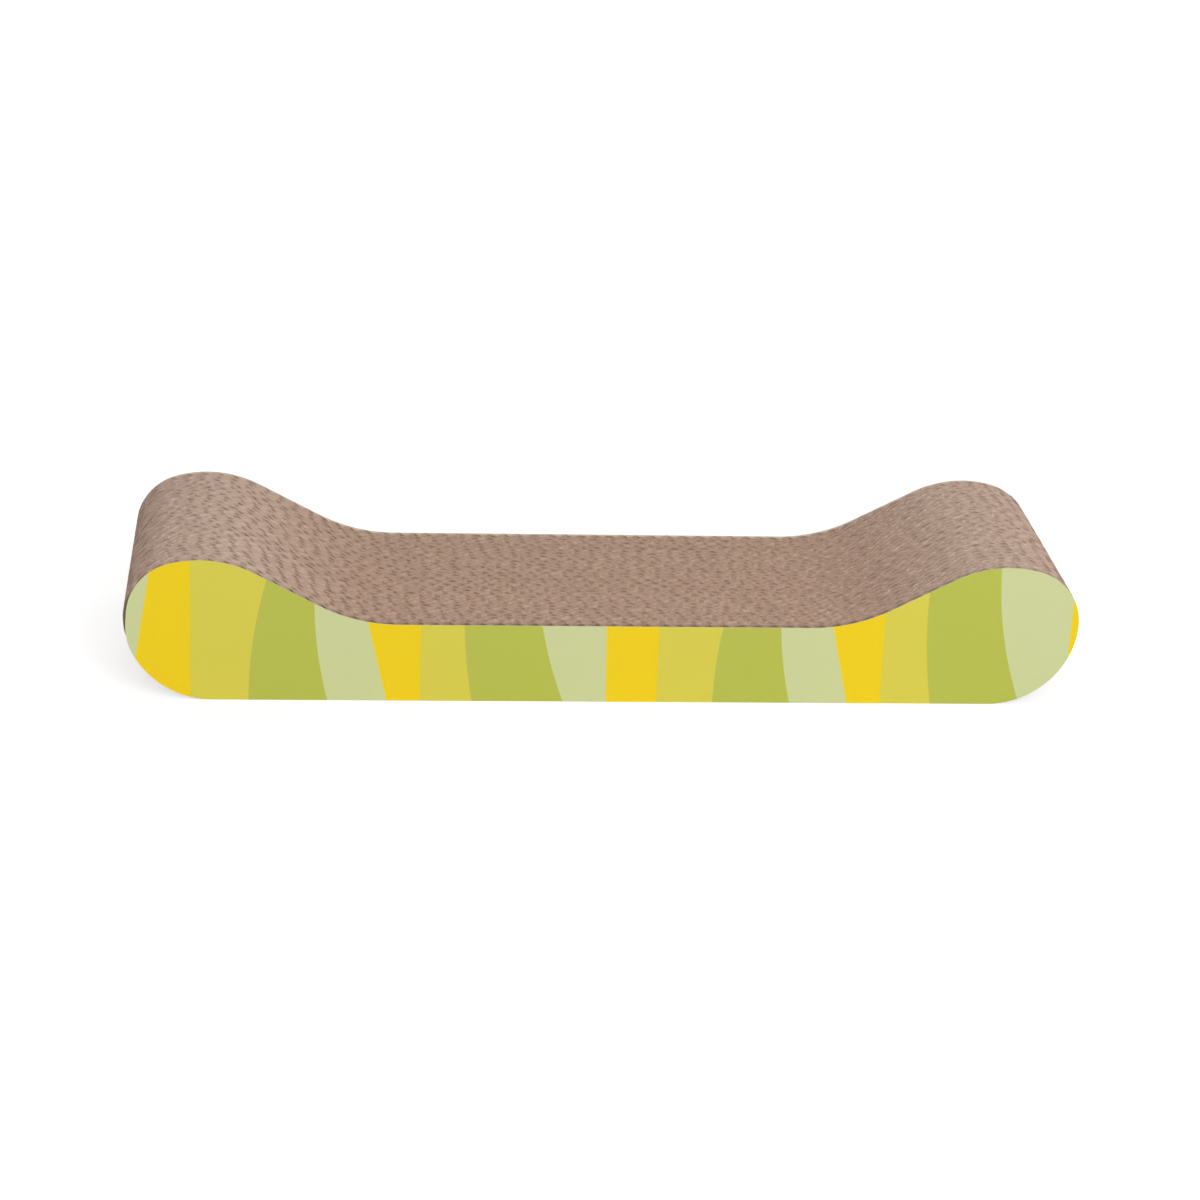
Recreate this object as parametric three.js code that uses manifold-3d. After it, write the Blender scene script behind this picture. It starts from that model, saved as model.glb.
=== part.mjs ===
// Cat scratcher lounger: a block of upright corrugated boards, all cut to one outline and
// glued face to face, with a printed paper sheet on its front and another on its back.
//
// Millimetres, +Z up. X runs along the lounger and the boards are stacked along Y, front to back.
// The origin is on the floor, under the middle of the block.

import * as THREE from "three";
import { mergeVertices } from "three/addons/utils/BufferGeometryUtils.js";
import Module from "manifold-3d";

// Outline of a board, the same at its left and right ends.
const LENGTH = 465;
const SEAT_HEIGHT = 40;
const HEEL_RADIUS = 42.5; // each end's undercut, from the floor up to its widest point
const END_RADIUS = 28.6; // each end's nose, from its widest point up
const END_SWEEP = 73.5; // degrees that the nose turns through before the crest takes over
const CREST_RADIUS = 56.3; // the rounded top of each raised end
const SLOPE_ANGLE = 27.8; // degrees, the straight slope from crest to seat
const SEAT_BLEND_RADIUS = 83.3; // the hollow curve between slope and seat

// A corrugated board: two liners with a fluted layer between them. Along the cut edge the flutes
// are open, so the layer lies lower there than the liners, by the mean depth of the open flutes.
const BOARD_THICKNESS = 4;
const LINER_THICKNESS = 0.3;
const OPEN_EDGE_DEPTH = 1.2;

// The stack of boards and the sheets that close it.
const BOARD_COUNT = 31;
const GLUE_FILM = 0.1;
const PRINT_SHEET_THICKNESS = 0.4;

// Fineness of the round stretches: degrees of arc for each straight facet.
const FACET_SWEEP = 15;

// Finishes, as they look in even light.
const KRAFT_COLOUR = 0xa88d7a;
const KRAFT_ROUGHNESS = 0.9;
const PRINT_COLOUR = 0xd3cb58;
const PRINT_ROUGHNESS = 0.55;

const { degToRad } = THREE.MathUtils;
const QUARTER_TURN = degToRad(90);

const wasm = await Module();
wasm.setup();

// The points of an arc about (x, z), from one angle to another. It turns the way the angles go.
function arc(x, z, radius, from, to) {
  const facets = Math.ceil(Math.abs(to - from) / degToRad(FACET_SWEEP));
  return new THREE.EllipseCurve(x, z, radius, radius, from, to, to < from).getPoints(facets);
}

// The right half of the outline, from the floor round the end and down the slope to the seat,
// drawn in by inset everywhere but on the floor. Each arc starts in the direction in which the one
// before it ends, so the edge has no corner.
function rightHalf(inset) {
  const sweep = degToRad(END_SWEEP);
  const slope = degToRad(SLOPE_ANGLE);

  const heelX = LENGTH / 2 - HEEL_RADIUS;
  const noseX = LENGTH / 2 - END_RADIUS;
  const crestX = noseX + (END_RADIUS - CREST_RADIUS) * Math.cos(sweep);
  const crestZ = HEEL_RADIUS + (END_RADIUS - CREST_RADIUS) * Math.sin(sweep);

  const slopeTopX = crestX - CREST_RADIUS * Math.sin(slope);
  const slopeTopZ = crestZ + CREST_RADIUS * Math.cos(slope);
  const slopeFootZ = SEAT_HEIGHT + SEAT_BLEND_RADIUS * (1 - Math.cos(slope));
  const slopeFootX = slopeTopX - (slopeTopZ - slopeFootZ) / Math.tan(slope);
  const seatEndX = slopeFootX - SEAT_BLEND_RADIUS * Math.sin(slope);

  const heel = arc(heelX, HEEL_RADIUS, HEEL_RADIUS - inset, -QUARTER_TURN, 0);
  const nose = arc(noseX, HEEL_RADIUS, END_RADIUS - inset, 0, sweep);
  const crest = arc(crestX, crestZ, CREST_RADIUS - inset, sweep, QUARTER_TURN + slope);
  const blend = arc(
    seatEndX,
    SEAT_HEIGHT + SEAT_BLEND_RADIUS,
    SEAT_BLEND_RADIUS + inset,
    slope - QUARTER_TURN,
    -QUARTER_TURN,
  );

  // The heel always starts on the floor. The nose and the crest each start on the point where the
  // arc before them ends.
  heel[0].y = 0;
  return [...heel, ...nose.slice(1), ...crest.slice(1), ...blend];
}

// The whole outline: the right half, then its mirror image back down to the floor.
function outline(inset) {
  const right = rightHalf(inset);
  const left = right.map((point) => new THREE.Vector2(-point.x, point.y)).reverse();
  return new THREE.Shape([...right, ...left]);
}

// A flat sheet cut to a shape.
function cutSheet(shape, thickness) {
  return new THREE.ExtrudeGeometry(shape, { depth: thickness, bevelEnabled: false });
}

function toSolid(geometry) {
  const bare = geometry.clone();
  bare.deleteAttribute("normal");
  bare.deleteAttribute("uv");
  const merged = mergeVertices(bare);
  const mesh = new wasm.Mesh({
    numProp: 3,
    vertProperties: merged.attributes.position.array,
    triVerts: Uint32Array.from(merged.index.array),
  });
  return new wasm.Manifold(mesh);
}

function toGeometry(solid) {
  const { vertProperties, triVerts } = solid.getMesh();
  const geometry = new THREE.BufferGeometry();
  geometry.setAttribute("position", new THREE.BufferAttribute(vertProperties, 3));
  geometry.setIndex(new THREE.BufferAttribute(triVerts, 1));
  geometry.computeVertexNormals();
  return geometry;
}

// One board: the fluted layer, set back along its open edge, joined to a liner on each face.
function corrugatedBoard() {
  const cutEdge = outline(0);
  const layer = cutSheet(outline(OPEN_EDGE_DEPTH), BOARD_THICKNESS);
  const oneLiner = cutSheet(cutEdge, LINER_THICKNESS);
  const otherLiner = cutSheet(cutEdge, LINER_THICKNESS);
  otherLiner.translate(0, 0, BOARD_THICKNESS - LINER_THICKNESS);
  return toGeometry(toSolid(layer).add(toSolid(oneLiner)).add(toSolid(otherLiner)));
}

// A sheet or board stood upright, with its front face at frontY.
function upright(name, geometry, frontY, thickness, material) {
  const piece = new THREE.Mesh(geometry, material);
  piece.name = name;
  piece.rotation.x = QUARTER_TURN;
  piece.position.y = frontY + thickness;
  return piece;
}

function kraftBoard() {
  return new THREE.MeshStandardMaterial({
    color: KRAFT_COLOUR,
    roughness: KRAFT_ROUGHNESS,
    metalness: 0,
  });
}

function printedPaper() {
  return new THREE.MeshStandardMaterial({
    color: PRINT_COLOUR,
    roughness: PRINT_ROUGHNESS,
    metalness: 0,
  });
}

const lounger = new THREE.Group();
lounger.name = "cat_scratcher_lounger";

// The boards, front to back, with the stack centred on Y = 0.
const boardPitch = BOARD_THICKNESS + GLUE_FILM;
const stackDepth = BOARD_COUNT * boardPitch - GLUE_FILM;
const stackFrontY = -stackDepth / 2;
const board = corrugatedBoard();

for (let index = 0; index < BOARD_COUNT; index += 1) {
  const number = String(index + 1).padStart(2, "0");
  const frontY = stackFrontY + index * boardPitch;
  lounger.add(upright(`scratch_board_${number}`, board, frontY, BOARD_THICKNESS, kraftBoard()));
}

// The printed sheets, glued to the two outer faces of the stack.
const printSheet = cutSheet(outline(0), PRINT_SHEET_THICKNESS);
const frontSheetY = stackFrontY - GLUE_FILM - PRINT_SHEET_THICKNESS;
const backSheetY = -stackFrontY + GLUE_FILM;
lounger.add(upright("front_print_sheet", printSheet, frontSheetY, PRINT_SHEET_THICKNESS, printedPaper()));
lounger.add(upright("back_print_sheet", printSheet, backSheetY, PRINT_SHEET_THICKNESS, printedPaper()));

export default lounger;
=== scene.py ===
# %% [markdown]
# # A cat scratcher lounger
#
# The real lounger is a block of corrugated boards. All of them are cut to one outline, stood on
# edge and glued face to face, and a printed paper sheet closes the front and the back. The cut
# edges of the boards are what the cat scratches.
#
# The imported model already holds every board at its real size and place. Its solids could simply
# be coloured, but corrugated board is known by its open flutes. So this lesson gives each board
# its two flat liners and the wavy sheet between them, and then the paper its finish.

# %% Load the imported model
import math

import bpy
import numpy as np
from mathutils import Color, Matrix, Vector


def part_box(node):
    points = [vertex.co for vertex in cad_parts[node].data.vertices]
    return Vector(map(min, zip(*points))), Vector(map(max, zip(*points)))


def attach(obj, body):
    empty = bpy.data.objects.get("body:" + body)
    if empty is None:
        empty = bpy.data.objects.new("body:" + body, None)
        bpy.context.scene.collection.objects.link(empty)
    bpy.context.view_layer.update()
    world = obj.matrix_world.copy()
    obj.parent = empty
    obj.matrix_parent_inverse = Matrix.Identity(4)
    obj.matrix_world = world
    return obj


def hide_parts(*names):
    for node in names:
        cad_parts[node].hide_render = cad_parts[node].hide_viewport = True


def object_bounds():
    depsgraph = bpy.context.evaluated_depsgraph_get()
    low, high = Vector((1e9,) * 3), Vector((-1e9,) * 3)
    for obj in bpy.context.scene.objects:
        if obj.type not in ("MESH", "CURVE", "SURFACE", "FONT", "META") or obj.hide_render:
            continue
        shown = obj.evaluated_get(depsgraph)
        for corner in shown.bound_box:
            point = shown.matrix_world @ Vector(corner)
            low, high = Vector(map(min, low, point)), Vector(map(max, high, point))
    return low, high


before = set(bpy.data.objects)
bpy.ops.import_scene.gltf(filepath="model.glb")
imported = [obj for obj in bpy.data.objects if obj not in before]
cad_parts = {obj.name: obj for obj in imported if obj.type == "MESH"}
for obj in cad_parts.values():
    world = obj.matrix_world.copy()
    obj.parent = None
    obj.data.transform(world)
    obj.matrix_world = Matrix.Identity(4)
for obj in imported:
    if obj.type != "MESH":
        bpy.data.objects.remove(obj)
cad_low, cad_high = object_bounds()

MM = 0.001
scene = bpy.context.scene
board_nodes = sorted(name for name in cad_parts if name.startswith("scratch_board_"))
print("boards:", len(board_nodes))
print("packed size in mm:", [round(side / MM, 1) for side in cad_high - cad_low])

# %% [markdown]
# ## The camera
#
# A camera can be dragged into place by eye, or turned by three angles. The angles are used here,
# because they can be read off a photograph: it looks from a little to the left, down at the
# seat, and the picture is tipped slightly. The lens is long, so the two ends look nearly alike.

# %% Place the camera
CAMERA_TURN = math.radians(-5.4)
CAMERA_DOWN = math.radians(21.25)
CAMERA_TIP = math.radians(2.45)
CAMERA_DISTANCE = 1.644
CAMERA_LENS = 97.2
AIM_RIGHT = 3.4 * MM
AIM_UP = 26.4 * MM
QUARTER = math.pi / 2

level_turn = Matrix.Rotation(CAMERA_TURN, 3, "Z") @ Matrix.Rotation(QUARTER - CAMERA_DOWN, 3, "X")
camera_turn = level_turn @ Matrix.Rotation(CAMERA_TIP, 3, "Z")
camera_place = camera_turn @ Vector((AIM_RIGHT, AIM_UP, CAMERA_DISTANCE))

camera = bpy.data.objects.new("camera", bpy.data.cameras.new("camera"))
camera.data.lens = CAMERA_LENS
camera.matrix_world = Matrix.Translation(camera_place) @ camera_turn.to_4x4()
scene.collection.objects.link(camera)
scene.camera = camera
print("camera at:", [round(value, 3) for value in camera_place])

# %% [markdown]
# ## The outline that every sheet is cut to
#
# The cutting die is made of arcs that run into each other: a round heel off the floor, a nose, a
# crest, a straight slope and a hollow that eases into the flat seat. It could be drawn as a curve
# object, but a board also has to know how high it is at any place along it. So the upper and the
# lower edge are kept as points, and the height in between is read off them.

# %% Work out the upper and lower edge
HEEL_RADIUS = 42.5 * MM
NOSE_RADIUS = 28.6 * MM
NOSE_SWEEP = math.radians(73.5)
CREST_RADIUS = 56.3 * MM
SLOPE = math.radians(27.8)
HOLLOW_RADIUS = 83.3 * MM
SEAT_HEIGHT = 40 * MM
ARC_POINTS = 60
half_length = (cad_high.x - cad_low.x) / 2


def arc(x, z, radius, start, end):
    """Points round (x, z), from one angle to another."""
    angles = np.linspace(start, end, ARC_POINTS)
    return np.column_stack([x + radius * np.cos(angles), z + radius * np.sin(angles)])


nose_x = half_length - NOSE_RADIUS
crest_x = nose_x + (NOSE_RADIUS - CREST_RADIUS) * math.cos(NOSE_SWEEP)
crest_z = HEEL_RADIUS + (NOSE_RADIUS - CREST_RADIUS) * math.sin(NOSE_SWEEP)
slope_top_x = crest_x - CREST_RADIUS * math.sin(SLOPE)
slope_top_z = crest_z + CREST_RADIUS * math.cos(SLOPE)
slope_foot_z = SEAT_HEIGHT + HOLLOW_RADIUS * (1 - math.cos(SLOPE))
slope_foot_x = slope_top_x - (slope_top_z - slope_foot_z) / math.tan(SLOPE)
seat_end = slope_foot_x - HOLLOW_RADIUS * math.sin(SLOPE)

hollow = arc(seat_end, SEAT_HEIGHT + HOLLOW_RADIUS, HOLLOW_RADIUS, -QUARTER, SLOPE - QUARTER)
crest = arc(crest_x, crest_z, CREST_RADIUS, QUARTER + SLOPE, NOSE_SWEEP)
nose = arc(nose_x, HEEL_RADIUS, NOSE_RADIUS, NOSE_SWEEP, 0)
heel = arc(half_length - HEEL_RADIUS, HEEL_RADIUS, HEEL_RADIUS, -QUARTER, 0)
upper_edge = np.vstack([[[0, SEAT_HEIGHT]], hollow, crest, nose])
lower_edge = np.vstack([[[0, 0]], heel])


def top_at(x):
    """Height of the upper edge at places along the length."""
    return np.interp(np.abs(x), upper_edge[:, 0], upper_edge[:, 1])


def foot_at(x):
    """Height of the lower edge at places along the length."""
    return np.interp(np.abs(x), lower_edge[:, 0], lower_edge[:, 1])


print("crest height in mm:", round(upper_edge[:, 1].max() / MM, 1))
print("length of the flat seat in mm:", round(2 * seat_end / MM, 1))

# %% [markdown]
# ## Paper sheets from a row of stations
#
# Liners, fluting and printed sheets are all one thing: paper that stands upright and is cut to
# the outline. A solidify modifier could thicken a flat cut-out, but the fluting needs its wave
# and every sheet needs a strip of its own along the cut. So each sheet is lofted: at stations
# along its length there is a ring of points, up its front and down its back, and faces join one
# ring to the next. The stations crowd together at the round ends, where the edge turns upright.

# %% Choose stations along the length
# Degrees round the nose, counted from its widest point
FIRST_END_ANGLE = 2.4
LAST_END_ANGLE = 30
END_ANGLE_STEP = 4
end_angles = np.radians(np.arange(FIRST_END_ANGLE, LAST_END_ANGLE, END_ANGLE_STEP))
end_gaps = NOSE_RADIUS * (1 - np.cos(end_angles))


def stations(step):
    """Places along the length about one step apart, closer at the ends."""
    reach = half_length - end_gaps[-1] - step / 2
    middle = np.linspace(-reach, reach, round(2 * reach / step) + 1)
    return np.concatenate([-half_length + end_gaps, middle, half_length - end_gaps[::-1]])


print("stations 2 mm apart:", len(stations(2 * MM)))

# %% Loft one sheet
# Each side of a sheet has four levels: its foot, the rim above it, the rim below its top, its top
LEVELS = 4
RING = 2 * LEVELS
RIM_DEPTH = 2 * MM


def sheet_points(x, front, back, foot_trim, top_trim):
    """A ring of points for each station, with a strip of RIM_DEPTH along both cut edges."""
    foot = foot_at(x) + foot_trim
    top = top_at(x) - top_trim
    rim = np.minimum(RIM_DEPTH, (top - foot) / LEVELS)
    heights = np.stack([foot, foot + rim, top - rim, top], axis=1)
    along = np.repeat(x[:, None], LEVELS, axis=1)
    front_side = np.stack([along, front, heights], axis=2)
    back_side = np.stack([along, back, heights], axis=2)
    return np.concatenate([front_side, back_side[:, ::-1]], axis=1)


def flat_sheet(x, front_y, back_y, foot_trim, top_trim):
    """A sheet without waves, cut shorter than the outline by the trims."""
    front = np.full((len(x), LEVELS), front_y)
    back = np.full((len(x), LEVELS), back_y)
    return sheet_points(x, front, back, foot_trim, top_trim)


def sheet_faces(count):
    """Walls between neighbouring rings, then a cap of three faces on each end."""
    here = np.arange(RING)
    after = (here + 1) % RING
    first = np.arange(count - 1)[:, None] * RING
    second = first + RING
    walls = np.stack([first + here, second + here, second + after, first + after], axis=2)
    low = np.arange(LEVELS - 1)
    cap = np.stack([low, low + 1, RING - 2 - low, RING - 1 - low], axis=1)
    return np.vstack([walls.reshape(-1, 4), cap, cap[:, ::-1] + (count - 1) * RING])


print("faces of a sheet with 100 stations:", len(sheet_faces(100)))

# %% [markdown]
# ## Bands for a texture map
#
# A piece that leaves Blender takes its colours along as a picture, and needs a flat map for it.
# Smart unwrapping would shrink the thin cut edges to nothing. Here the faces already come as long
# strips, so each strip gets a band of its own across the map, however thin it is.

# %% Lay the strips out as bands
MAP_MARGIN = 0.005
BAND_END = 0.97
CAP_START = 0.98
BAND_FILL = 0.8


def band_map(count, first_band, bands):
    """Four corners for each face of a sheet: walls in bands, and the caps at their far end."""
    along = np.linspace(MAP_MARGIN, BAND_END, count)
    low = (first_band + np.arange(RING) + (1 - BAND_FILL) / 2) / bands
    high = low + BAND_FILL / bands
    walls = np.empty((count - 1, RING, 4, 2))
    walls[..., 0] = np.stack([along[:-1], along[1:], along[1:], along[:-1]], axis=1)[:, None]
    walls[..., 1] = np.stack([low, low, high, high], axis=1)[None]
    caps = np.empty((2 * (LEVELS - 1), 4, 2))
    caps[..., 0] = [CAP_START, CAP_START, 1 - MAP_MARGIN, 1 - MAP_MARGIN]
    caps[..., 1] = np.stack([low, high, high, low], axis=1)[: len(caps)]
    return np.concatenate([walls.reshape(-1, 4, 2), caps])


print("mapped faces, corners and directions:", band_map(100, 0, 24).shape)

# %% [markdown]
# ## From sheets to one piece
#
# A board is made of two or three sheets, glued together for good. They could be separate objects
# that are joined by hand, but here they go into one mesh from the start, which keeps their strips
# in order. Points along the cut carry a mark, so that the paper's finish can find the cut edge
# later. Faces look smooth where the paper bends softly, and stay sharp where it was cut.

# %% Mark the cut, and fill the material slots
def cut_marks(count):
    """1 for the points of a sheet that lie along the cut or on its ends, 0 for the others."""
    marks = np.zeros((count, RING))
    marks[:, [0, LEVELS - 1, LEVELS, RING - 1]] = 1
    marks[[0, -1]] = 1
    return marks.ravel()


def all_faces(count, slot):
    """The same material slot for every face of a sheet."""
    return np.full(len(sheet_faces(count)), slot)


print("cut points on 100 stations:", int(cut_marks(100).sum()))

# %% Make one object out of sheets
SMOOTH_UNDER = math.radians(60)


def paper_object(name, sheets, face_slots, materials):
    """One mesh of closed sheets. face_slots has the material slots of each sheet's faces."""
    counts = [len(sheet) for sheet in sheets]
    starts = np.cumsum([0] + counts[:-1]) * RING
    bands = len(sheets) * RING
    points = np.vstack([sheet.reshape(-1, 3) for sheet in sheets])
    faces = np.vstack([sheet_faces(count) + start for count, start in zip(counts, starts)])
    corners = [band_map(count, number * RING, bands) for number, count in enumerate(counts)]
    marks = np.concatenate([cut_marks(count) for count in counts])

    mesh = bpy.data.meshes.new(name)
    mesh.from_pydata(points.tolist(), [], faces.tolist())
    mesh.polygons.foreach_set("material_index", np.concatenate(face_slots).astype(np.int32))
    mesh.polygons.foreach_set("use_smooth", np.ones(len(mesh.polygons), dtype=bool))
    mesh.set_sharp_from_angle(angle=SMOOTH_UNDER)
    mesh.attributes.new("cut", "FLOAT", "POINT").data.foreach_set("value", marks)
    mesh.uv_layers.new(name="OFBake").uv.foreach_set("vector", np.concatenate(corners).ravel())
    for material in materials:
        mesh.materials.append(material)
    paper = bpy.data.objects.new(name, mesh)
    scene.collection.objects.link(paper)
    return paper


print("faces look smooth up to an angle of:", round(math.degrees(SMOOTH_UNDER)), "degrees")

# %% [markdown]
# ## Kraft paper
#
# Unbleached paper is never one brown. Fibres run along it, the pulp is mottled, and each board in
# the stack has a tone of its own, as if it came from another roll. The cut is painted darker than
# the clean paper down in the flutes, as painted light that evens out the shade in them, and the
# paper turns paler towards the crests. Behind the front print the fluting is painted dark, as
# painted shade in its open flutes.
#
# A picture of cardboard could be laid over the boards, but it would repeat itself and stretch at
# the ends. Noise in the object's own coordinates needs no painting, and makes every board differ.

# %% Helpers for shader nodes
def add_node(tree, kind, inputs=None, **settings):
    """A new node with its settings. An input is a value, or another node's output to link."""
    node = tree.nodes.new(kind)
    for name, value in settings.items():
        setattr(node, name, value)
    for socket, value in (inputs or {}).items():
        if isinstance(value, bpy.types.NodeSocket):
            tree.links.new(value, node.inputs[socket])
        else:
            node.inputs[socket].default_value = value
    return node


def calculate(tree, operation, *values):
    """The result of a math node."""
    return add_node(tree, "ShaderNodeMath", dict(enumerate(values)), operation=operation).outputs[0]


def remap(tree, value, from_low, from_high, to_low, to_high, curve="LINEAR"):
    """A value carried over from one range to another, and kept inside it."""
    inputs = {0: value, 1: from_low, 2: from_high, 3: to_low, 4: to_high}
    return add_node(tree, "ShaderNodeMapRange", inputs, interpolation_type=curve).outputs[0]


def mix(tree, share, first, second, way="MIX"):
    """Two colours mixed. The node has sockets for other kinds of data too: 6, 7 and 2 are colours."""
    inputs = {0: share, 6: first, 7: second}
    return add_node(tree, "ShaderNodeMix", inputs, data_type="RGBA", blend_type=way).outputs[2]


def ink(red, green, blue):
    """A colour written as it looks on a screen, 0 to 255, as linear light for a shader."""
    linear = Color((red / 255, green / 255, blue / 255)).from_srgb_to_scene_linear()
    return (*linear, 1.0)


def new_material(name):
    """A material, with the tree that holds its nodes and the shader at the tree's end."""
    material = bpy.data.materials.new(name)
    material.use_nodes = True
    tree = material.node_tree
    return material, tree, tree.nodes["Principled BSDF"]


print("mid grey as linear light:", round(ink(128, 128, 128)[0], 3))

# %% A tone for each board
# Half a pitch brings the glue films to whole numbers. The hundred picks which tones are drawn.
TONE_START = 100.5
board_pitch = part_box(board_nodes[1])[0].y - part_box(board_nodes[0])[0].y


def board_tone(tree, place):
    """One random number for each board in the stack, counted off along Y."""
    across = add_node(tree, "ShaderNodeSeparateXYZ", {0: place}).outputs["Y"]
    counted = calculate(tree, "MULTIPLY_ADD", across, 1 / board_pitch, TONE_START)
    board = calculate(tree, "FLOOR", counted)
    return add_node(tree, "ShaderNodeTexWhiteNoise", {"W": board}, noise_dimensions="1D").outputs[0]


print("board pitch in mm:", round(board_pitch / MM, 2))

# %% A colour for the cut, and paler crests
FLECKS_FROM = 0.35
FLECKS_TO = 0.7
LEAST_CUT_SHARE = 0.7
# Between these heights the paper is mixed towards a paler colour, most at the crests.
PALER_FROM = 42 * MM
PALER_TO = 70 * MM
HIGH_PALE_SHARE = 0.45
HIGH_PALE_COLOUR = (228, 207, 193)


def cut_and_height_colour(tree, place, pulp, clean, cut_colour):
    """The clean colour, mixed towards the cut colour along the cut, then paler towards the crests."""
    on_cut = add_node(tree, "ShaderNodeAttribute", attribute_name="cut").outputs["Fac"]
    # Along the cut the paper is mixed towards its cut colour. On kraft that colour is darker, so the
    # paper down in the flutes reads lighter: painted light against their shade.
    flecks = remap(tree, pulp, FLECKS_FROM, FLECKS_TO, LEAST_CUT_SHARE, 1.0)
    cut_share = calculate(tree, "MULTIPLY", on_cut, flecks)
    cut_coloured = mix(tree, cut_share, clean, ink(*cut_colour))
    height = add_node(tree, "ShaderNodeSeparateXYZ", {0: place}).outputs["Z"]
    paleness = remap(tree, height, PALER_FROM, PALER_TO, 0.0, HIGH_PALE_SHARE)
    return mix(tree, paleness, cut_coloured, ink(*HIGH_PALE_COLOUR))


print("rubbed from", round(PALER_FROM / MM), "to", round(PALER_TO / MM), "mm above the floor")

# %% Grain that roughens a sheet
KRAFT_ROUGHNESS = (0.8, 0.97)
FIBRE_BUMP_STRENGTH = 0.5
FIBRE_BUMP = 0.06 * MM
KRAFT_SHEEN = 0.25


def noise(tree, place, scale, detail):
    """Cloudy grey, finer the larger its scale."""
    inputs = {"Vector": place, "Scale": scale, "Detail": detail}
    return add_node(tree, "ShaderNodeTexNoise", inputs).outputs[0]


def paper_surface(tree, shader, colour, grain, roughness, bump_strength, bump_depth, sheen):
    """Gives a sheet its colour, and its roughness and fine relief from one grain."""
    tree.links.new(colour, shader.inputs["Base Color"])
    rough = remap(tree, grain, 0.0, 1.0, *roughness)
    tree.links.new(rough, shader.inputs["Roughness"])
    relief = {"Height": grain, "Strength": bump_strength, "Distance": bump_depth}
    bump = add_node(tree, "ShaderNodeBump", relief).outputs[0]
    tree.links.new(bump, shader.inputs["Normal"])
    shader.inputs["Specular IOR Level"].default_value = sheen


print("roughness of kraft paper, least and most:", KRAFT_ROUGHNESS)

# %% Kraft paper for liners and fluting
FIBRE_SCALE = (350, 700, 1600)
FIBRE_DETAIL = 4.0
FIBRE_SHARE = 0.6
PULP_SCALE = 420
PULP_DETAIL = 2.0
PULP_SHARE = 0.7
MOTTLE_SCALE = 110
MOTTLE_DETAIL = 3.0
MOTTLE_SHARE = 0.3
BOARD_SHARE = 0.2
TONE_SHIFT = -0.4


def kraft_paper(name, dark, pale, cut_colour):
    """Paper between a dark and a pale brown, with a third one for its cut."""
    material, tree, shader = new_material(name)
    place = add_node(tree, "ShaderNodeTexCoord").outputs["Object"]
    stretched = add_node(tree, "ShaderNodeMapping", {"Vector": place, "Scale": FIBRE_SCALE}).outputs[0]
    fibres = noise(tree, stretched, 1.0, FIBRE_DETAIL)
    pulp = noise(tree, place, PULP_SCALE, PULP_DETAIL)
    mottle = noise(tree, place, MOTTLE_SCALE, MOTTLE_DETAIL)

    tone = calculate(tree, "MULTIPLY_ADD", fibres, FIBRE_SHARE, TONE_SHIFT)
    tone = calculate(tree, "MULTIPLY_ADD", pulp, PULP_SHARE, tone)
    tone = calculate(tree, "MULTIPLY_ADD", mottle, MOTTLE_SHARE, tone)
    tone = calculate(tree, "MULTIPLY_ADD", board_tone(tree, place), BOARD_SHARE, tone)
    clean = mix(tree, tone, ink(*dark), ink(*pale))
    colour = cut_and_height_colour(tree, place, pulp, clean, cut_colour)
    paper_surface(
        tree, shader, colour, fibres, KRAFT_ROUGHNESS, FIBRE_BUMP_STRENGTH, FIBRE_BUMP, KRAFT_SHEEN
    )
    return material


KRAFT_DARK = (204, 173, 151)
KRAFT_PALE = (241, 215, 197)
# The cut is painted darker than the clean paper below it. This painted light evens out the shade down
# in the flutes.
KRAFT_CUT_DARKER = (196, 164, 143)
# The fluting behind the front print is painted dark. This is painted shade for its open flutes, seen as
# dots along the print's upper edge.
SHADED_FLUTING_DARK = (130, 108, 91)
SHADED_FLUTING_PALE = (160, 134, 115)
liner_paper = kraft_paper("kraft_liner", KRAFT_DARK, KRAFT_PALE, KRAFT_CUT_DARKER)
fluting_paper = kraft_paper("kraft_fluting", KRAFT_DARK, KRAFT_PALE, KRAFT_CUT_DARKER)
shade_painted_fluting = kraft_paper("fluting_painted_shade", SHADED_FLUTING_DARK, SHADED_FLUTING_PALE, KRAFT_CUT_DARKER)
print("nodes in a kraft paper:", len(liner_paper.node_tree.nodes))

# %% [markdown]
# ## Corrugated boards
#
# Each board has a liner on both faces and a fluted sheet between them, whose waves stand upright
# and are open at the cut. That is what makes the scratching surface. A bump map could hint at the
# holes, but they are deep and seen at a low angle, so each board gets its real wave.
#
# No two boards were cut at the same place along their roll, so the waves start anywhere, and
# their pitch wanders a little. The die has crushed the thin walls, pushed them aside and frayed
# them at the cut, and pressed them nearly shut at both ends. The liners are ragged and stand a
# little lower than the fluting, and the boards are not quite level with each other.
#
# The printed sheets are pasted straight onto the fluting of the outer boards, in place of a
# liner. Behind the front one the paste has stiffened the waves, so they are less battered there.

# %% Liners
rng = np.random.default_rng(31)
LINER = 0.3 * MM
LINER_STEP = 2.5 * MM
LINER_RAGGED = 0.5 * MM
LINER_SUNK = 0.3 * MM
liner_x = stations(LINER_STEP)


def liner_sheet(front_y, back_y, lifted):
    """A flat sheet whose cut edges are sunk and a little ragged."""
    foot_trim = lifted + LINER_SUNK + rng.uniform(0, LINER_RAGGED, len(liner_x))
    top_trim = LINER_SUNK - lifted + rng.uniform(0, LINER_RAGGED, len(liner_x))
    return flat_sheet(liner_x, front_y, back_y, foot_trim, top_trim)


print("points in a liner:", len(liner_x) * RING)

# %% Wandering and fraying
FRAY = 0.25 * MM


def drift(x, size, length):
    """A random drift along a sheet, of about this size, that changes over about this length."""
    knots = np.arange(x[0] - length, x[-1] + 2 * length, length)
    return np.interp(x, knots, rng.normal(0, size, len(knots)))


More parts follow.
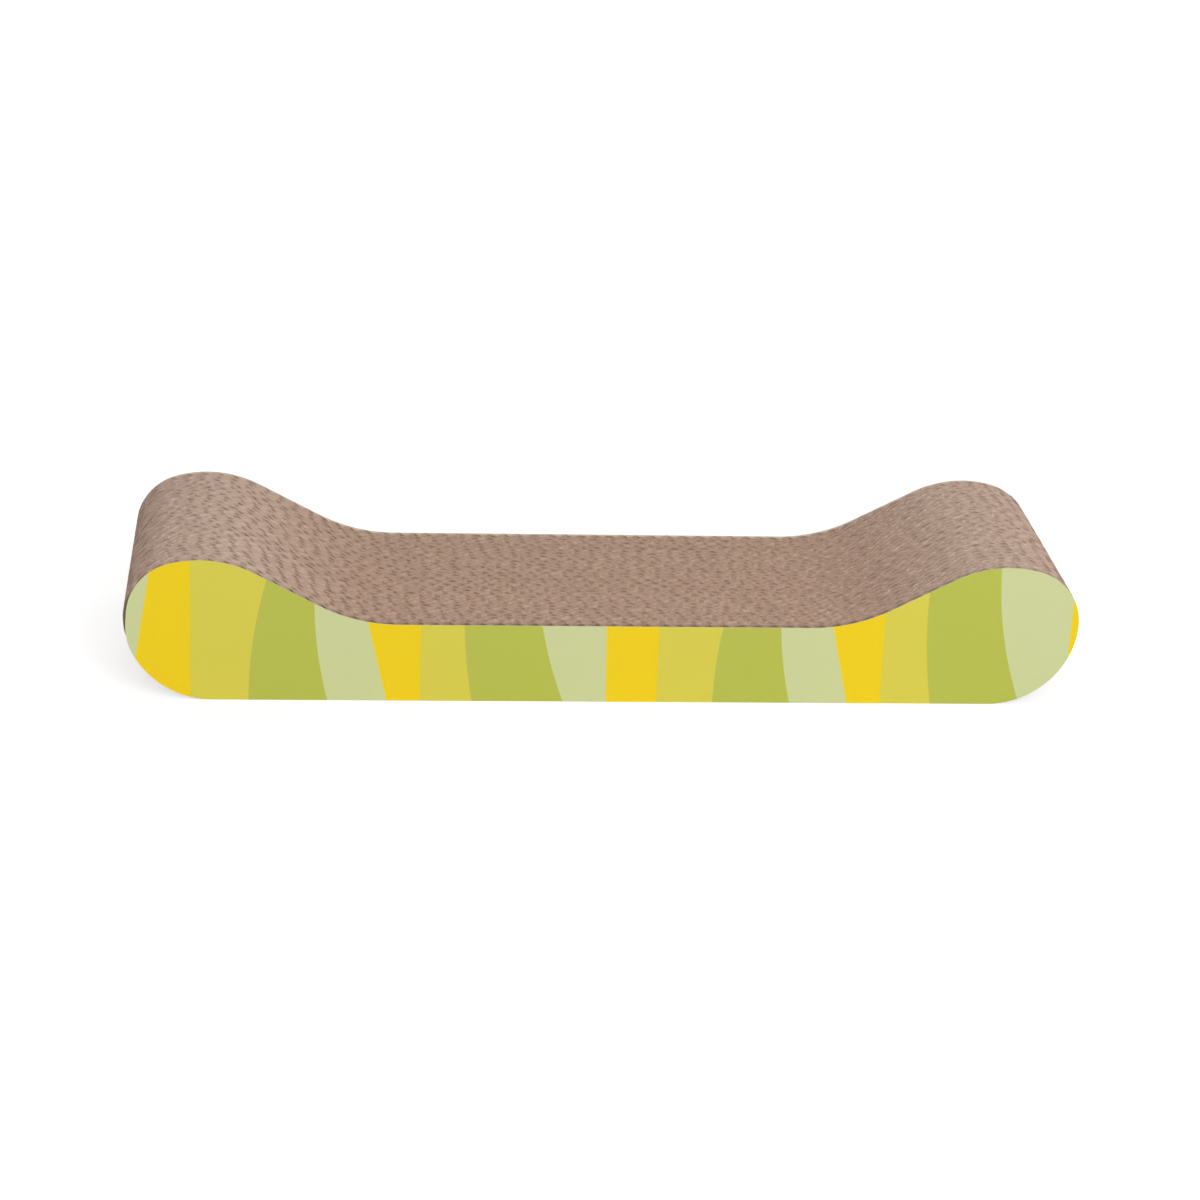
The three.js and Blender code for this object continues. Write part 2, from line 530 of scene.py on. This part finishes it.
def frayed_edges(count):
    """How far torn fibres stand out from one side of a sheet, at its four levels."""
    fray = np.zeros((count, LEVELS))
    fray[:, [0, -1]] = rng.uniform(0, FRAY, (count, 2))
    return fray


print("fibres stand out by up to", round(FRAY / MM, 2), "mm")

# %% Fluting
FLUTING = 0.26 * MM
FLUTE_PITCH = 7.8 * MM
STATIONS_PER_FLUTE = 10
WANDER = 0.8
WANDER_LENGTH = 22 * MM
CRUSH = 0.35
CRUSH_LENGTH = FLUTE_PITCH / 2
LEAN = 0.4 * MM
LEAN_LENGTH = FLUTE_PITCH / 3
CRUSHED_END = 4 * MM
CRUSHED_SHUT = 0.75
FLUTING_RAGGED = 0.35 * MM
fluting_x = stations(FLUTE_PITCH / STATIONS_PER_FLUTE)


def fluted_sheet(front_y, back_y, flute_start, lifted, battered):
    """The wavy sheet, crushed, pushed aside and frayed along its cut edges."""
    x = fluting_x
    reach = (back_y - front_y - FLUTING) / 2
    turn = x / FLUTE_PITCH * math.tau + flute_start + drift(x, WANDER, WANDER_LENGTH)
    wave = reach * np.sin(turn)
    steepness = reach * math.tau / FLUTE_PITCH * np.cos(turn)
    half = FLUTING / 2 * np.sqrt(1 + steepness**2)[:, None]

    crushed = wave * (1 - np.abs(drift(x, battered * CRUSH, CRUSH_LENGTH)))
    cut_wave = np.clip(crushed + drift(x, battered * LEAN, LEAN_LENGTH), -reach, reach)
    middle = (front_y + back_y) / 2 + np.stack([cut_wave, wave, wave, cut_wave], axis=1)
    front = np.maximum(middle - half - battered * frayed_edges(len(x)), front_y)
    back = np.minimum(middle + half + battered * frayed_edges(len(x)), back_y)

    near_end = np.clip((np.abs(x) - half_length + CRUSHED_END) / CRUSHED_END, 0, 1)[:, None]
    front += (front_y - front) * near_end * CRUSHED_SHUT
    back += (back_y - back) * near_end * CRUSHED_SHUT
    foot_trim = lifted + rng.uniform(0, FLUTING_RAGGED, len(x))
    top_trim = rng.uniform(0, FLUTING_RAGGED, len(x)) - lifted
    return sheet_points(x, front, back, foot_trim, top_trim)


print("points in a fluted sheet:", len(fluting_x) * RING)

# %% One board
UNEVEN_STACK = 0.25 * MM
BATTERED_BEHIND_PRINT = 0.35
FLUTING_SLOT = 0
LINER_SLOT = 1


def corrugated_board(name, low_y, high_y, flute_start, front_liner, back_liner):
    """Fluting with a liner on one or both faces. Behind the front print its fluting has painted shade.
    """
    lifted = rng.uniform(0, UNEVEN_STACK)
    inner_low = low_y + LINER if front_liner else low_y
    inner_high = high_y - LINER if back_liner else high_y
    # Behind the front print the fluting gets the painted shade.
    inner_paper = fluting_paper if front_liner else shade_painted_fluting
    battered = 1.0 if front_liner else BATTERED_BEHIND_PRINT
    sheets = [fluted_sheet(inner_low, inner_high, flute_start, lifted, battered)]
    slots = [all_faces(len(fluting_x), FLUTING_SLOT)]
    if front_liner:
        sheets.append(liner_sheet(low_y, inner_low, lifted))
        slots.append(all_faces(len(liner_x), LINER_SLOT))
    if back_liner:
        sheets.append(liner_sheet(inner_high, high_y, lifted))
        slots.append(all_faces(len(liner_x), LINER_SLOT))
    return paper_object(name, sheets, slots, [inner_paper, liner_paper])


print("boards stand up to", round(UNEVEN_STACK / MM, 2), "mm higher than the outline")

# %% The stack of boards
OUT_OF_STEP = 2.2
flute_start = 0.0
for node in board_nodes:
    low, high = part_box(node)
    flute_start += rng.normal(0, OUT_OF_STEP)
    board = corrugated_board(
        node.replace("scratch_board", "corrugated_board"),
        low.y,
        high.y,
        flute_start,
        front_liner=node != board_nodes[0],
        back_liner=node != board_nodes[-1],
    )
    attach(board, "root")
    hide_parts(node)
print("faces in the last board:", len(board.data.polygons))

# %% [markdown]
# ## The printed paper
#
# The front and the back are covered by white paper with broad upright stripes in four inks. The
# stripes come in two runs that take turns, and most of their edges lean or bow a little, as if
# they had been cut from paper with scissors. Separate strips of mesh could carry the inks, but
# then the paper would show joins. One chain of mix nodes keeps it a single sheet: it walks along
# the sheet, and each edge that it passes changes the ink.

# %% Stripe edges
YELLOW = (241, 207, 12)
LIME = (216, 205, 75)
GREEN = (184, 189, 77)
PALE = (205, 211, 153)

# Each stripe has its ink, where its left edge starts at floor level (mm along its run), how far
# that edge leans (mm for each mm up) and how much it bows (change of lean for each mm up).
WIDE_LIME_RUN = (
    (LIME, 0, 0, 0),
    (GREEN, 27.8, 0, 0.0022),
    (PALE, 65.8, -0.25, 0.0024),
    (YELLOW, 94.4, -0.23, 0),
)
WIDE_GREEN_RUN = (
    (LIME, 0, 0, 0),
    (GREEN, 25.3, -0.18, 0.0018),
    (PALE, 69.8, -0.38, 0.0025),
    (YELLOW, 91, -0.03, 0),
)
WIDE_LIME_LENGTH = 110.6
WIDE_GREEN_LENGTH = 115.6

# Both ends of the sheet have stripes of their own, measured from the middle of the sheet. The one
# at the right end takes the place of the last run's yellow.
LEFT_END = ((PALE, -240, 0, 0), (YELLOW, -230, 0.155, 0))
RIGHT_END = ((YELLOW, 228, 0.02, 0),)
FIRST_RUN_STARTS = -200.4

stripes = list(LEFT_END)
run_start = FIRST_RUN_STARTS
for run, run_length in 2 * ((WIDE_LIME_RUN, WIDE_LIME_LENGTH), (WIDE_GREEN_RUN, WIDE_GREEN_LENGTH)):
    stripes += [(colour, run_start + offset, lean, bow) for colour, offset, lean, bow in run]
    run_start += run_length
stripes[-1:] = RIGHT_END
print("stripes:", len(stripes))

# %% Ink at each place along the sheet
def stripe_ink(tree, place, across):
    """across is 1 where the stripes run along +X, and -1 on the back, which is read from behind."""
    split = add_node(tree, "ShaderNodeSeparateXYZ", {0: place}).outputs
    along = calculate(tree, "MULTIPLY", split["X"], across / MM)
    up = calculate(tree, "MULTIPLY", split["Z"], 1 / MM)
    colour = ink(*stripes[0][0])
    for next_ink, start, lean, bow in stripes[1:]:
        bend = calculate(tree, "MULTIPLY_ADD", up, bow, lean)
        edge = calculate(tree, "MULTIPLY_ADD", up, bend, start)
        past = calculate(tree, "GREATER_THAN", along, edge)
        colour = mix(tree, past, colour, ink(*next_ink))
    return colour


print("inks:", len({stripe[0] for stripe in stripes}))

# %% Printed paper
PRINT_GRAIN = 2600
PRINT_DETAIL = 3.0
INK_THINNEST = 0.97
INK_FULLEST = 1.03
PRINT_ROUGHNESS = (0.42, 0.54)
PRINT_BUMP_STRENGTH = 0.3
PRINT_BUMP = 0.02 * MM
PRINT_SHEEN = 0.3


def striped_print(name, across):
    """Striped ink that is a little thinner or fuller with the paper's grain."""
    material, tree, shader = new_material(name)
    place = add_node(tree, "ShaderNodeTexCoord").outputs["Object"]
    grain = noise(tree, place, PRINT_GRAIN, PRINT_DETAIL)
    ink_level = remap(tree, grain, 0.0, 1.0, INK_THINNEST, INK_FULLEST)
    colour = mix(tree, 1.0, stripe_ink(tree, place, across), ink_level, way="MULTIPLY")
    paper_surface(
        tree, shader, colour, grain, PRINT_ROUGHNESS, PRINT_BUMP_STRENGTH, PRINT_BUMP, PRINT_SHEEN
    )
    return material


CORE_DARK = (196, 184, 158)
CORE_PALE = (226, 216, 194)
CORE_CUT = (232, 224, 206)
front_print = striped_print("front_stripes", 1)
back_print = striped_print("back_stripes", -1)
paper_core = kraft_paper("paper_core", CORE_DARK, CORE_PALE, CORE_CUT)
print("nodes in a printed paper:", len(front_print.node_tree.nodes))

# %% [markdown]
# ## The printed sheets
#
# The print shows on the outer face only, and the sheet's core is bare paper. At one nose each
# sheet falls a little short, so that a thin crescent of board shows beyond it. The front sheet is
# also cut a little low, and the open flutes behind it show as a row of dark dots along its upper
# edge, dark with the painted shade on that fluting. Each sheet could have an outline of its own,
# but it is shorter to loft it like a liner and then to move the points at the nose.

# %% Where the print shows
PRINT_SLOT = 0
CORE_SLOT = 1
FRONT_STRIPS = range(0, LEVELS - 1)
BACK_STRIPS = range(LEVELS, RING - 1)


def printed_faces(count, strips):
    """The print on the outer strips of faces, and bare paper on the rest."""
    walls = np.full((count - 1, RING), CORE_SLOT)
    walls[:, strips] = PRINT_SLOT
    caps = np.full(2 * (LEVELS - 1), CORE_SLOT)
    return np.concatenate([walls.ravel(), caps])


print("printed strips:", len(FRONT_STRIPS), "of", RING)

# %% Front and back sheets
PRINT_STEP = 2 * MM
PRINT_SHORT = 1.4 * MM
SHORT_FADES = 14 * MM
FRONT_LOW_CUT = 0.4 * MM
print_x = stations(PRINT_STEP)


def short_at_one_end(sheet, end):
    """Draws the nose at one end in, less and less towards the crest and down the heel."""
    past_crest = np.clip((end * sheet[..., 0] - crest_x) / (half_length - crest_x), 0, 1)
    above_heel = np.clip(1 + (sheet[..., 2] - HEEL_RADIUS) / SHORT_FADES, 0, 1)
    sheet[..., 0] -= end * PRINT_SHORT * past_crest**2 * above_heel
    return sheet


for node, print_ink, strips, short_end, low_cut in (
    ("front_print_sheet", front_print, FRONT_STRIPS, -1, FRONT_LOW_CUT),
    ("back_print_sheet", back_print, BACK_STRIPS, 1, 0.0),
):
    low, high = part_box(node)
    flat = flat_sheet(print_x, low.y, high.y, foot_trim=0.0, top_trim=low_cut)
    sheet = short_at_one_end(flat, short_end)
    name = node.replace("print_sheet", "striped_sheet")
    side = paper_object(name, [sheet], [printed_faces(len(sheet), strips)], [print_ink, paper_core])
    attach(side, "root")
    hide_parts(node)
    print(side.name, "faces:", len(side.data.polygons))

# %% [markdown]
# ## The floor
#
# The lounger stands on a wide white sheet, as in a studio. A floor lit until it looks white would
# throw so much light back that the boards would be washed out. So the floor is a pale grey that
# also glows by itself, but only in what is seen of it. It reads as white and keeps the shadow.

# %% Floor
FLOOR_SIZE = 16
FLOOR_DROP = 0.2 * MM
corner = FLOOR_SIZE / 2
floor_corners = [(-corner, -corner, 0), (corner, -corner, 0), (corner, corner, 0), (-corner, corner, 0)]
floor_mesh = bpy.data.meshes.new("floor")
floor_mesh.from_pydata(floor_corners, [], [(0, 1, 2, 3)])
floor = bpy.data.objects.new("floor", floor_mesh)
floor.location.z = -FLOOR_DROP
scene.collection.objects.link(floor)
print("floor side in metres:", FLOOR_SIZE)

# %% Floor paint
WHITE = (1, 1, 1, 1)
FLOOR_GREY = (0.7, 0.7, 0.7, 1)
FLOOR_ROUGHNESS = 0.9
# Metres from the middle of the lounger, and how strongly the floor glows there
NEAR = 0.3
NEAR_GLOW = 0.62
FAR = 1.1
FAR_GLOW = 0.85


def seen_share(tree):
    """1 for what is seen straight, in a reflection or through something clear, and else 0."""
    path = add_node(tree, "ShaderNodeLightPath").outputs
    seen = calculate(tree, "MAXIMUM", path["Is Camera Ray"], path["Is Glossy Ray"])
    return calculate(tree, "MAXIMUM", seen, path["Is Transmission Ray"])


floor_paint, tree, shader = new_material("floor_paint")
shader.inputs["Base Color"].default_value = FLOOR_GREY
shader.inputs["Roughness"].default_value = FLOOR_ROUGHNESS
shader.inputs["Emission Color"].default_value = WHITE
place = add_node(tree, "ShaderNodeTexCoord").outputs["Object"]
away = add_node(tree, "ShaderNodeVectorMath", {0: place}, operation="LENGTH").outputs["Value"]
floor_glow = remap(tree, away, NEAR, FAR, NEAR_GLOW, FAR_GLOW, curve="SMOOTHSTEP")
glow = calculate(tree, "MULTIPLY", seen_share(tree), floor_glow)
tree.links.new(glow, shader.inputs["Emission Strength"])
floor_mesh.materials.append(floor_paint)
print("floor glow:", NEAR_GLOW, "near the lounger and", FAR_GLOW, "far from it")

# %% [markdown]
# ## Lamps and sky
#
# Corrugated board is full of small holes. A small lamp, or one from the side, would turn them
# black, and a bright sky alone would make them flat. Light from the front shows the fewest
# shadows, so the largest lamp stands in front, a weaker one to the right of it, and a low one
# behind that lights the far edges. The lamps are as wide as a window, and the sky is dim, so
# the shadows stay soft.

# %% Lamps
seat_middle = Vector((0, 0, SEAT_HEIGHT))


def soft_lamp(name, place, width, height, power):
    """A rectangular lamp that looks at the middle of the seat. Metres and watts."""
    lamp = bpy.data.objects.new(name, bpy.data.lights.new(name, "AREA"))
    lamp.data.shape = "RECTANGLE"
    lamp.data.size = width
    lamp.data.size_y = height
    lamp.data.energy = power
    lamp.location = place
    lamp.rotation_euler = (seat_middle - Vector(place)).to_track_quat("-Z", "Y").to_euler()
    scene.collection.objects.link(lamp)
    print(name, "at", place, "with", power, "W")


soft_lamp("front_lamp", place=(0.3, -2.35, 1.2), width=2.0, height=1.6, power=34)
soft_lamp("right_lamp", place=(1.05, -1.7, 1.25), width=1.6, height=1.4, power=12)
soft_lamp("back_lamp", place=(-0.2, 2.4, 0.5), width=2.0, height=0.8, power=26)

# %% Sky
SKY_LIGHT = 0.3
SKY_SEEN = 1.0
sky = bpy.data.worlds.new("sky")
sky.use_nodes = True
scene.world = sky
background = sky.node_tree.nodes["Background"]
background.inputs["Color"].default_value = WHITE
strength = remap(sky.node_tree, seen_share(sky.node_tree), 0.0, 1.0, SKY_LIGHT, SKY_SEEN)
sky.node_tree.links.new(strength, background.inputs["Strength"])
scene.view_settings.view_transform = "Standard"
print("sky light:", SKY_LIGHT)
